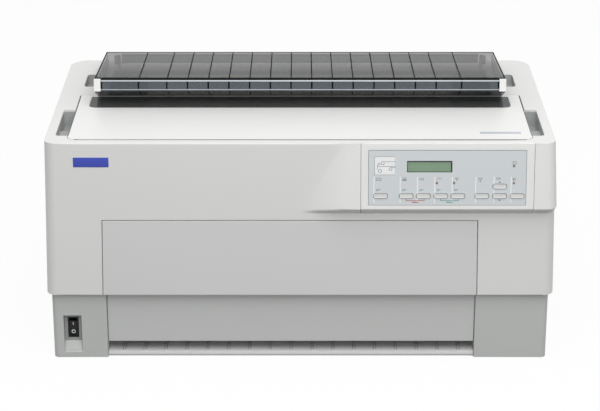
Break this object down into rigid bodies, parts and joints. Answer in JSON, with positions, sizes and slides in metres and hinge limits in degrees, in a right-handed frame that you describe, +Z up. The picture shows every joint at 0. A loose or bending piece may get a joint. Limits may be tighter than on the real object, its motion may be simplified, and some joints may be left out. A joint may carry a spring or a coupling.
{
  "type": "dot matrix printer",
  "caption": "Wide dot matrix printer: stepped housing, sloping control panel, lidded print bay, ribbed smoked top cover, hinged front cover and tractor paper feed.",
  "frame": {"origin": "middle of the footprint on the table", "axes": "+X to the user's right, +Y away from the user, +Z up"},
  "size_m": [0.7, 0.382, 0.363],
  "materials": {
    "casing_white": "fine satin texture",
    "cover_grey": "fine satin texture",
    "base_grey": "fine satin texture",
    "smoked_plastic": "smoked, glossy",
    "overlay_film": "printed film",
    "display_glass": "glossy",
    "key_grey": "satin",
    "board_green": "solder mask",
    "black_plastic": "satin",
    "rubber": "matt",
    "steel": "zinc plated",
    "exit_sheet": "satin paint",
    "motor_black": "black paint",
    "head_alloy": "cast, dark",
    "gear_nylon": "natural nylon",
    "tractor_plastic": "satin",
    "sprocket_white": "natural"
  },
  "bodies": {
    "housing": {"lower_housing": "base_grey", "upper_casing": "casing_white", "rubber_feet": "rubber", "housing_screws": "steel", "control_panel_housing": "casing_white", "panel_overlay": "overlay_film", "lcd_display": "display_glass", "panel_board": "board_green", "power_switch_body": "black_plastic", "paper_entry_guide": "base_grey", "front_paper_guide": "steel", "rear_paper_guide": "steel", "paper_exit_guide": "exit_sheet", "left_side_frame": "steel", "right_side_frame": "steel", "drive_motors": "motor_black", "carriage_rails": "steel", "carriage_belt": "rubber", "ribbon_cartridge": "black_plastic", "tractor_support_rods": "steel", "main_board": "board_green", "power_supply": "steel", "mains_inlet": "black_plastic"},
    "front_cover": {"front_cover": "cover_grey"},
    "rear_cover": {"rear_cover": "cover_grey"},
    "printer_cover": {"printer_cover": "casing_white", "cover_window": "smoked_plastic"},
    "top_cover": {"top_cover": "smoked_plastic", "nose_end_caps": "casing_white"},
    "rocker": {"power_rocker": "black_plastic"},
    "platen": {"platen": "rubber", "platen_gear": "gear_nylon"},
    "pinion": {"motor_pinion": "steel"},
    "carriage": {"carriage": "head_alloy", "print_head": "head_alloy"},
    "drive_pulley": {"drive_pulley": "steel"},
    "idler_pulley": {"idler_pulley": "steel"},
    "front_shaft": {"front_tractor_shaft": "steel"},
    "rear_shaft": {"rear_tractor_shaft": "steel"},
    "tractor_select_key": {"tractor_select_key": "key_grey"},
    "font_key": {"font_key": "key_grey"},
    "pitch_key": {"pitch_key": "key_grey"},
    "tear_off_key": {"tear_off_key": "key_grey"},
    "top_of_form_key": {"top_of_form_key": "key_grey"},
    "line_feed_key": {"line_feed_key": "key_grey"},
    "feed_down_key": {"feed_down_key": "key_grey"},
    "feed_up_key": {"feed_up_key": "key_grey"},
    "pause_key": {"pause_key": "key_grey"},
    "front_left_tractor": {"front_left_tractor": "tractor_plastic"},
    "front_left_sprocket": {"front_left_sprocket": "sprocket_white"},
    "front_left_flap": {"front_left_flap": "tractor_plastic"},
    "front_right_tractor": {"front_right_tractor": "tractor_plastic"},
    "front_right_sprocket": {"front_right_sprocket": "sprocket_white"},
    "front_right_flap": {"front_right_flap": "tractor_plastic"},
    "rear_left_tractor": {"rear_left_tractor": "tractor_plastic"},
    "rear_left_sprocket": {"rear_left_sprocket": "sprocket_white"},
    "rear_left_flap": {"rear_left_flap": "tractor_plastic"},
    "rear_right_tractor": {"rear_right_tractor": "tractor_plastic"},
    "rear_right_sprocket": {"rear_right_sprocket": "sprocket_white"},
    "rear_right_flap": {"rear_right_flap": "tractor_plastic"}
  },
  "joints": [
    {"name": "front_cover_hinge", "type": "hinge", "parent": "housing", "child": "front_cover", "pos_m": [0, -0.1535, 0.031], "axis": [1, 0, 0], "range_deg": [0, 85]},
    {"name": "rear_cover_hinge", "type": "hinge", "parent": "housing", "child": "rear_cover", "pos_m": [0, 0.1765, 0.031], "axis": [-1, 0, 0], "range_deg": [0, 85]},
    {"name": "printer_cover_hinge", "type": "hinge", "parent": "housing", "child": "printer_cover", "pos_m": [0, -0.031, 0.308], "axis": [-1, 0, 0], "range_deg": [0, 65]},
    {"name": "top_cover_hinge", "type": "hinge", "parent": "housing", "child": "top_cover", "pos_m": [0, 0.154, 0.336], "axis": [-1, 0, 0], "range_deg": [0, 75]},
    {"name": "power_rocker_tilt", "type": "hinge", "parent": "housing", "child": "rocker", "pos_m": [-0.3164, -0.157, 0.0445], "axis": [-1, 0, 0], "range_deg": [0, 15.8]},
    {"name": "platen_spin", "type": "hinge", "parent": "housing", "child": "platen", "pos_m": [0, 0.039, 0.2], "axis": [1, 0, 0], "continuous": true},
    {"name": "pinion_spin", "type": "hinge", "parent": "housing", "child": "pinion", "pos_m": [0.2865, 0.039, 0.16175], "axis": [1, 0, 0], "continuous": true},
    {"name": "carriage_slide", "type": "slide", "parent": "housing", "child": "carriage", "axis": [1, 0, 0], "range_m": [-0.38, 0]},
    {"name": "drive_pulley_spin", "type": "hinge", "parent": "housing", "child": "drive_pulley", "pos_m": [-0.252, -0.03, 0.146], "axis": [0, 0, 1], "range_deg": [-1815, 0]},
    {"name": "idler_pulley_spin", "type": "hinge", "parent": "housing", "child": "idler_pulley", "pos_m": [0.252, -0.03, 0.146], "axis": [0, 0, 1], "range_deg": [-1815, 0]},
    {"name": "tractor_select_key_press", "type": "slide", "parent": "housing", "child": "tractor_select_key", "axis": [0, 0.9861, -0.1662], "range_m": [0, 0.001], "stiffness_N_per_m": 200},
    {"name": "font_key_press", "type": "slide", "parent": "housing", "child": "font_key", "axis": [0, 0.9861, -0.1662], "range_m": [0, 0.001], "stiffness_N_per_m": 200},
    {"name": "pitch_key_press", "type": "slide", "parent": "housing", "child": "pitch_key", "axis": [0, 0.9861, -0.1662], "range_m": [0, 0.001], "stiffness_N_per_m": 200},
    {"name": "tear_off_key_press", "type": "slide", "parent": "housing", "child": "tear_off_key", "axis": [0, 0.9861, -0.1662], "range_m": [0, 0.001], "stiffness_N_per_m": 200},
    {"name": "top_of_form_key_press", "type": "slide", "parent": "housing", "child": "top_of_form_key", "axis": [0, 0.9861, -0.1662], "range_m": [0, 0.001], "stiffness_N_per_m": 200},
    {"name": "line_feed_key_press", "type": "slide", "parent": "housing", "child": "line_feed_key", "axis": [0, 0.9861, -0.1662], "range_m": [0, 0.001], "stiffness_N_per_m": 200},
    {"name": "feed_down_key_press", "type": "slide", "parent": "housing", "child": "feed_down_key", "axis": [0, 0.9861, -0.1662], "range_m": [0, 0.001], "stiffness_N_per_m": 200},
    {"name": "feed_up_key_press", "type": "slide", "parent": "housing", "child": "feed_up_key", "axis": [0, 0.9861, -0.1662], "range_m": [0, 0.001], "stiffness_N_per_m": 200},
    {"name": "pause_key_press", "type": "slide", "parent": "housing", "child": "pause_key", "axis": [0, 0.9861, -0.1662], "range_m": [0, 0.001], "stiffness_N_per_m": 200},
    {"name": "front_shaft_spin", "type": "hinge", "parent": "housing", "child": "front_shaft", "pos_m": [0, -0.106, 0.066], "axis": [1, 0, 0], "continuous": true},
    {"name": "front_left_tractor_slide", "type": "slide", "parent": "housing", "child": "front_left_tractor", "axis": [1, 0, 0], "range_m": [-0.02, 0.15]},
    {"name": "front_left_sprocket_spin", "type": "hinge", "parent": "front_left_tractor", "child": "front_left_sprocket", "pos_m": [-0.19, -0.106, 0.066], "axis": [1, 0, 0], "continuous": true},
    {"name": "front_left_flap_hinge", "type": "hinge", "parent": "front_left_tractor", "child": "front_left_flap", "pos_m": [-0.2029, -0.1238, 0.046], "axis": [0, 0, -1], "range_deg": [0, 110]},
    {"name": "front_right_tractor_slide", "type": "slide", "parent": "housing", "child": "front_right_tractor", "axis": [1, 0, 0], "range_m": [-0.15, 0.02]},
    {"name": "front_right_sprocket_spin", "type": "hinge", "parent": "front_right_tractor", "child": "front_right_sprocket", "pos_m": [0.19, -0.106, 0.066], "axis": [1, 0, 0], "continuous": true},
    {"name": "front_right_flap_hinge", "type": "hinge", "parent": "front_right_tractor", "child": "front_right_flap", "pos_m": [0.2029, -0.1238, 0.046], "axis": [0, 0, 1], "range_deg": [0, 110]},
    {"name": "rear_shaft_spin", "type": "hinge", "parent": "housing", "child": "rear_shaft", "pos_m": [0, 0.121, 0.066], "axis": [1, 0, 0], "continuous": true},
    {"name": "rear_left_tractor_slide", "type": "slide", "parent": "housing", "child": "rear_left_tractor", "axis": [1, 0, 0], "range_m": [-0.02, 0.15]},
    {"name": "rear_left_sprocket_spin", "type": "hinge", "parent": "rear_left_tractor", "child": "rear_left_sprocket", "pos_m": [-0.19, 0.121, 0.066], "axis": [1, 0, 0], "continuous": true},
    {"name": "rear_left_flap_hinge", "type": "hinge", "parent": "rear_left_tractor", "child": "rear_left_flap", "pos_m": [-0.2029, 0.1388, 0.046], "axis": [0, 0, 1], "range_deg": [0, 110]},
    {"name": "rear_right_tractor_slide", "type": "slide", "parent": "housing", "child": "rear_right_tractor", "axis": [1, 0, 0], "range_m": [-0.15, 0.02]},
    {"name": "rear_right_sprocket_spin", "type": "hinge", "parent": "rear_right_tractor", "child": "rear_right_sprocket", "pos_m": [0.19, 0.121, 0.066], "axis": [1, 0, 0], "continuous": true},
    {"name": "rear_right_flap_hinge", "type": "hinge", "parent": "rear_right_tractor", "child": "rear_right_flap", "pos_m": [0.2029, 0.1388, 0.046], "axis": [0, 0, -1], "range_deg": [0, 110]}
  ],
  "couplings": [
    {"joint": "pinion_spin", "follows": "platen_spin", "ratio": -3.75},
    {"joint": "drive_pulley_spin", "follows": "carriage_slide", "rad_per_m": 83.333},
    {"joint": "idler_pulley_spin", "follows": "carriage_slide", "rad_per_m": 83.333},
    {"joint": "front_left_sprocket_spin", "follows": "front_shaft_spin", "ratio": 1},
    {"joint": "front_right_sprocket_spin", "follows": "front_shaft_spin", "ratio": 1},
    {"joint": "rear_left_sprocket_spin", "follows": "rear_shaft_spin", "ratio": 1},
    {"joint": "rear_right_sprocket_spin", "follows": "rear_shaft_spin", "ratio": 1}
  ]
}
